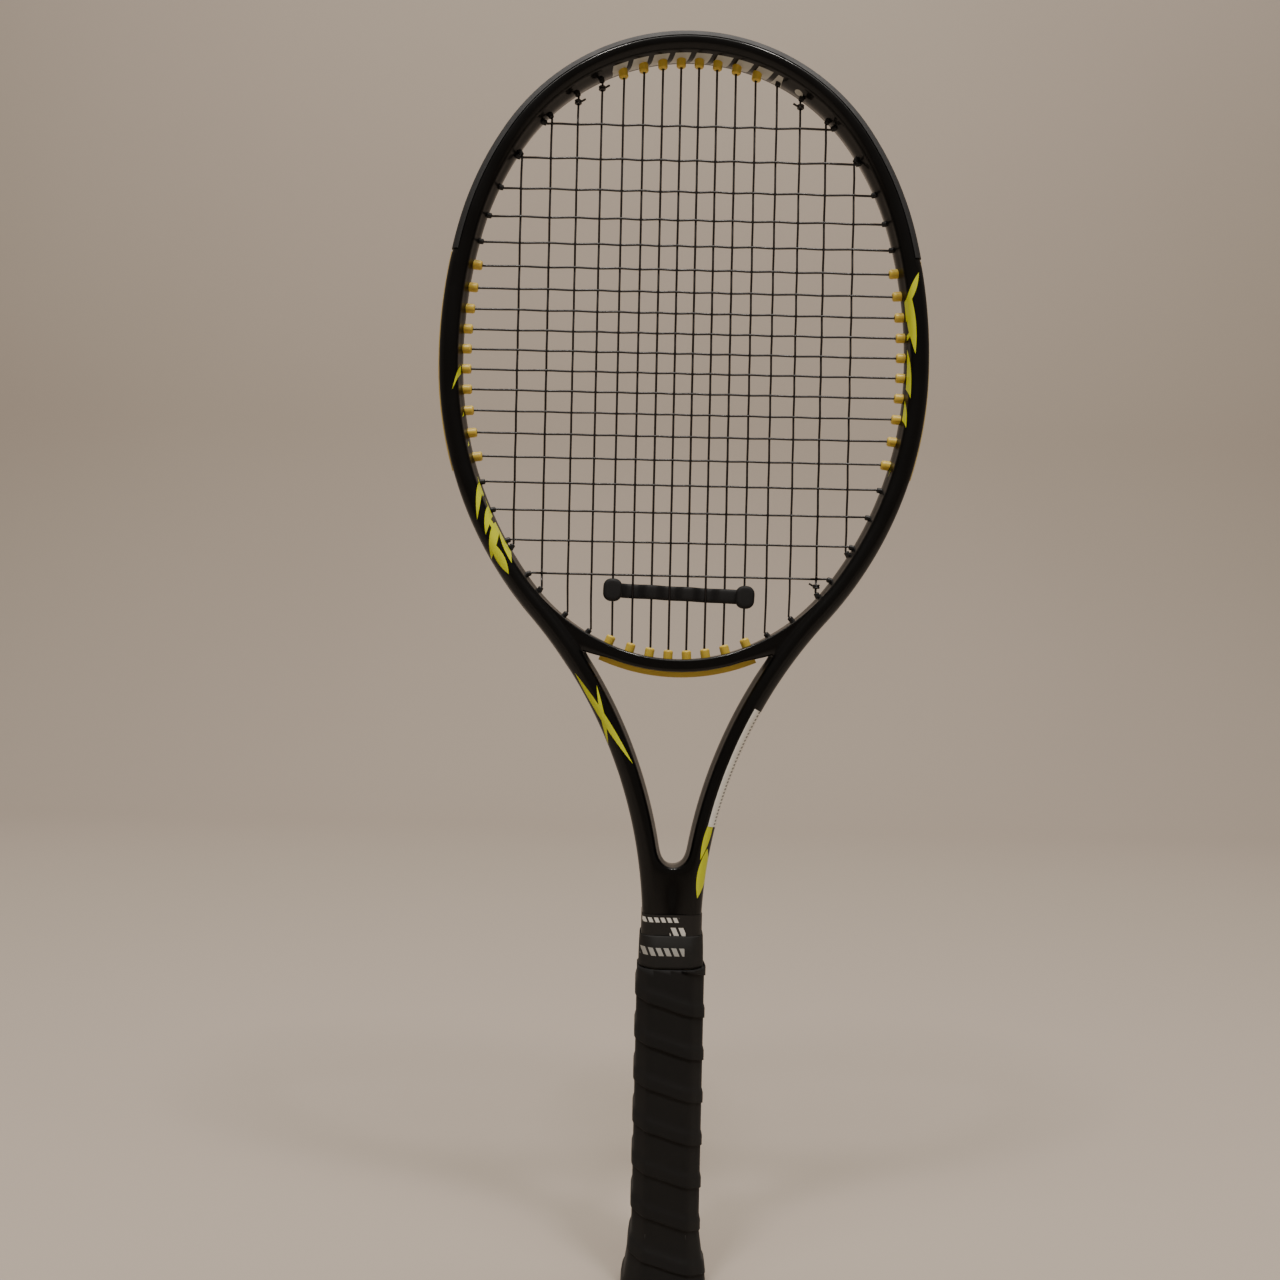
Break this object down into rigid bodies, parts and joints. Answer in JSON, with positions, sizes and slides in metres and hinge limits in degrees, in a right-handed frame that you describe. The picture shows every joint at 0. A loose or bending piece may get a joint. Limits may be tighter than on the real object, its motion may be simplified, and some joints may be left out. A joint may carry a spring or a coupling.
{
  "type": "tennis racket",
  "caption": "Adult tennis racket with a strung oval hoop, open throat, wrapped eight-sided handle and a sliding vibration dampener.",
  "frame": {"origin": "middle of the butt end, on the axis of the handle", "axes": "+Z along the handle up to the tip of the head, +X across the head, +Y through the depth towards the back"},
  "size_m": [0.2684, 0.0414, 0.6858],
  "materials": {
    "frame_paint": "gloss clear coat over black paint on a carbon moulding",
    "guard_nylon": "moulded nylon, satin charcoal",
    "grommet_bright": "moulded nylon, golden yellow",
    "grommet_black": "moulded nylon, black",
    "string": "coated polyamide string, very dark brown",
    "damper_rubber": "soft moulded rubber, black",
    "label_paper": null,
    "pallet_foam": "rigid moulded polyurethane foam",
    "cap_plastic": "moulded black plastic",
    "steel": "steel wire",
    "base_grip": "cushioned synthetic leather wrap",
    "overgrip": "thin tacky polyurethane overgrip, black",
    "tape": "vinyl finishing tape",
    "collar_rubber": "soft rubber sleeve"
  },
  "bodies": {
    "racket": {"frame_tube": "frame_paint", "throat_bridge": "frame_paint", "head_guard": "guard_nylon", "tip_grommets": "grommet_bright", "left_side_grommets": "grommet_bright", "right_side_grommets": "grommet_bright", "lower_left_grommets": "grommet_black", "lower_right_grommets": "grommet_black", "throat_grommets": "grommet_bright", "main_strings": "string", "cross_strings": "string", "string_knots": "string", "shaft_label": "label_paper", "handle_pallet": "pallet_foam", "butt_cap": "cap_plastic", "trap_door_pin": "steel", "cap_staples": "steel", "base_grip": "base_grip", "grip_staple": "steel", "overgrip": "overgrip", "finishing_tape": "tape"},
    "door": {"trap_door": "cap_plastic"},
    "damper": {"dampener": "damper_rubber"},
    "collar": {"rubber_collar": "collar_rubber"}
  },
  "joints": [
    {"name": "dampener_slide", "type": "slide", "parent": "racket", "child": "damper", "axis": [0, 0, 1], "range_m": [-0.015, 0.004]},
    {"name": "trap_door_hinge", "type": "hinge", "parent": "racket", "child": "door", "pos_m": [0, 0.0119, 0.0012], "axis": [1, 0, 0], "range_deg": [0, 100]},
    {"name": "collar_slide", "type": "slide", "parent": "racket", "child": "collar", "axis": [0, 0, 1], "range_m": [0, 0.016]}
  ]
}
